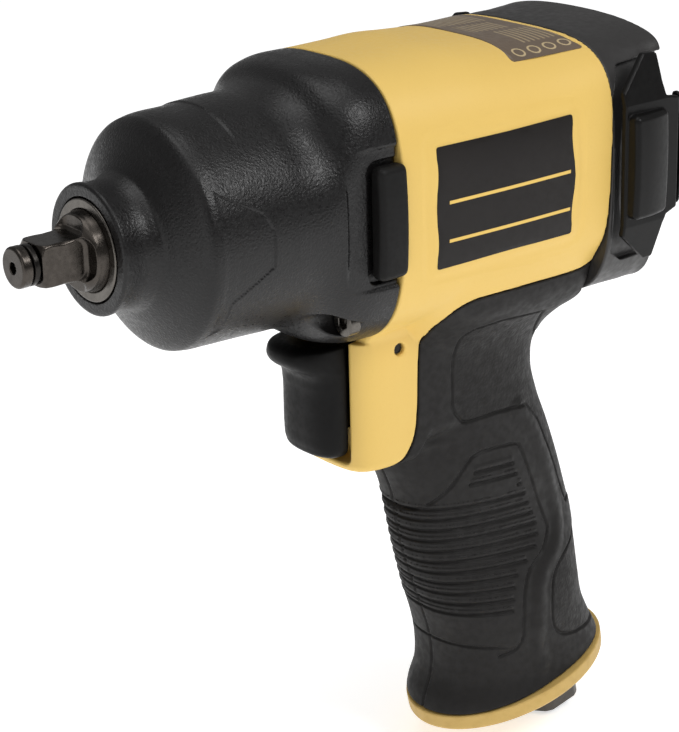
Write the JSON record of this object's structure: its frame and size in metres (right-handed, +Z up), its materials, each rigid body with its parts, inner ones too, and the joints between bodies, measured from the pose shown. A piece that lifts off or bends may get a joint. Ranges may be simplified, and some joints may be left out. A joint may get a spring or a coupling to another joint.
{
  "type": "pneumatic impact wrench",
  "caption": "Air-driven pistol impact wrench with a square drive, sprung trigger, reversing dial, twin-hammer mechanism and vane motor.",
  "frame": {"origin": "centre of the flat front face of the anvil's square drive end", "axes": "+X points to the rear along the anvil's axis, +Z up, away from the handle; Y across, and the tool is symmetric about Y = 0"},
  "size_m": [0.1723, 0.0812, 0.1927],
  "materials": {
    "black_paint": "satin black textured paint",
    "yellow": "satin yellow",
    "black_nylon": "fine textured black",
    "rubber": "matte black",
    "dark_steel": "dark oxide finish",
    "steel": "ground and plated",
    "brass": "machined",
    "label": "printed film without lettering",
    "vane": "pressed composite",
    "felt": "felt"
  },
  "bodies": {
    "tool_body": {"hammer_case": "black_paint", "nose_bushing": "steel", "nose_seal": "rubber", "bumper_left": "rubber", "bumper_right": "rubber", "case_screw_left": "steel", "case_screw_right": "steel", "dowel_left": "steel", "dowel_right": "steel", "motor_front_plate": "steel", "front_bearing": "steel", "motor_cylinder": "steel", "motor_rear_plate": "steel", "rear_bearing": "steel", "motor_housing": "yellow", "grip_sleeve": "rubber", "nameplate_left": "label", "nameplate_right": "label", "rating_plate": "label", "exhaust_deflector": "yellow", "inlet_bushing": "dark_steel", "inlet_screen": "brass", "muffler": "felt", "base_screw": "steel", "rear_cap": "black_nylon", "rear_screw_1": "steel", "rear_screw_2": "steel", "rear_screw_3": "steel", "rear_screw_4": "steel", "detent_ball": "steel", "detent_spring": "steel", "trigger_pin": "steel", "valve_bushing": "brass", "throttle_spring": "steel"},
    "anvil_shaft": {"anvil": "dark_steel", "friction_ring": "steel"},
    "hammer": {"hammer_cage": "dark_steel", "hammer_dog_front": "dark_steel", "hammer_dog_rear": "dark_steel", "hammer_pin_upper": "steel", "hammer_pin_lower": "steel"},
    "motor_rotor": {"rotor": "dark_steel", "vane_1": "vane", "vane_2": "vane", "vane_3": "vane", "vane_4": "vane", "vane_5": "vane", "vane_6": "vane"},
    "trigger_body": {"trigger": "rubber"},
    "valve": {"throttle_valve": "steel"},
    "dial": {"reverse_dial": "black_nylon"},
    "reverse_spool": {"reverse_valve": "brass"}
  },
  "joints": [
    {"name": "anvil_spin", "type": "hinge", "parent": "tool_body", "child": "anvil_shaft", "pos_m": [0.02, 0, 0], "axis": [1, 0, 0], "continuous": true},
    {"name": "hammer_spin", "type": "hinge", "parent": "tool_body", "child": "hammer", "pos_m": [0.06, 0, 0], "axis": [1, 0, 0], "continuous": true},
    {"name": "rotor_spin", "type": "hinge", "parent": "tool_body", "child": "motor_rotor", "pos_m": [0.106, 0, 0], "axis": [1, 0, 0], "continuous": true},
    {"name": "trigger_pull", "type": "slide", "parent": "tool_body", "child": "trigger_body", "axis": [1, 0, 0], "range_m": [0, 0.0055], "stiffness_N_per_m": 900, "springref_m": -0.004, "deforming": ["throttle_spring"]},
    {"name": "valve_slide", "type": "slide", "parent": "tool_body", "child": "valve", "axis": [1, 0, 0], "range_m": [0, 0.0055]},
    {"name": "dial_turn", "type": "hinge", "parent": "tool_body", "child": "dial", "pos_m": [0.16, 0, 0], "axis": [1, 0, 0], "range_deg": [-8, 8]},
    {"name": "reverse_valve_turn", "type": "hinge", "parent": "tool_body", "child": "reverse_spool", "pos_m": [0.14, 0, 0], "axis": [1, 0, 0], "range_deg": [-8, 8]}
  ],
  "couplings": [
    {"joint": "rotor_spin", "follows": "hammer_spin", "ratio": 1},
    {"joint": "valve_slide", "follows": "trigger_pull", "ratio": 1},
    {"joint": "reverse_valve_turn", "follows": "dial_turn", "ratio": 1}
  ]
}
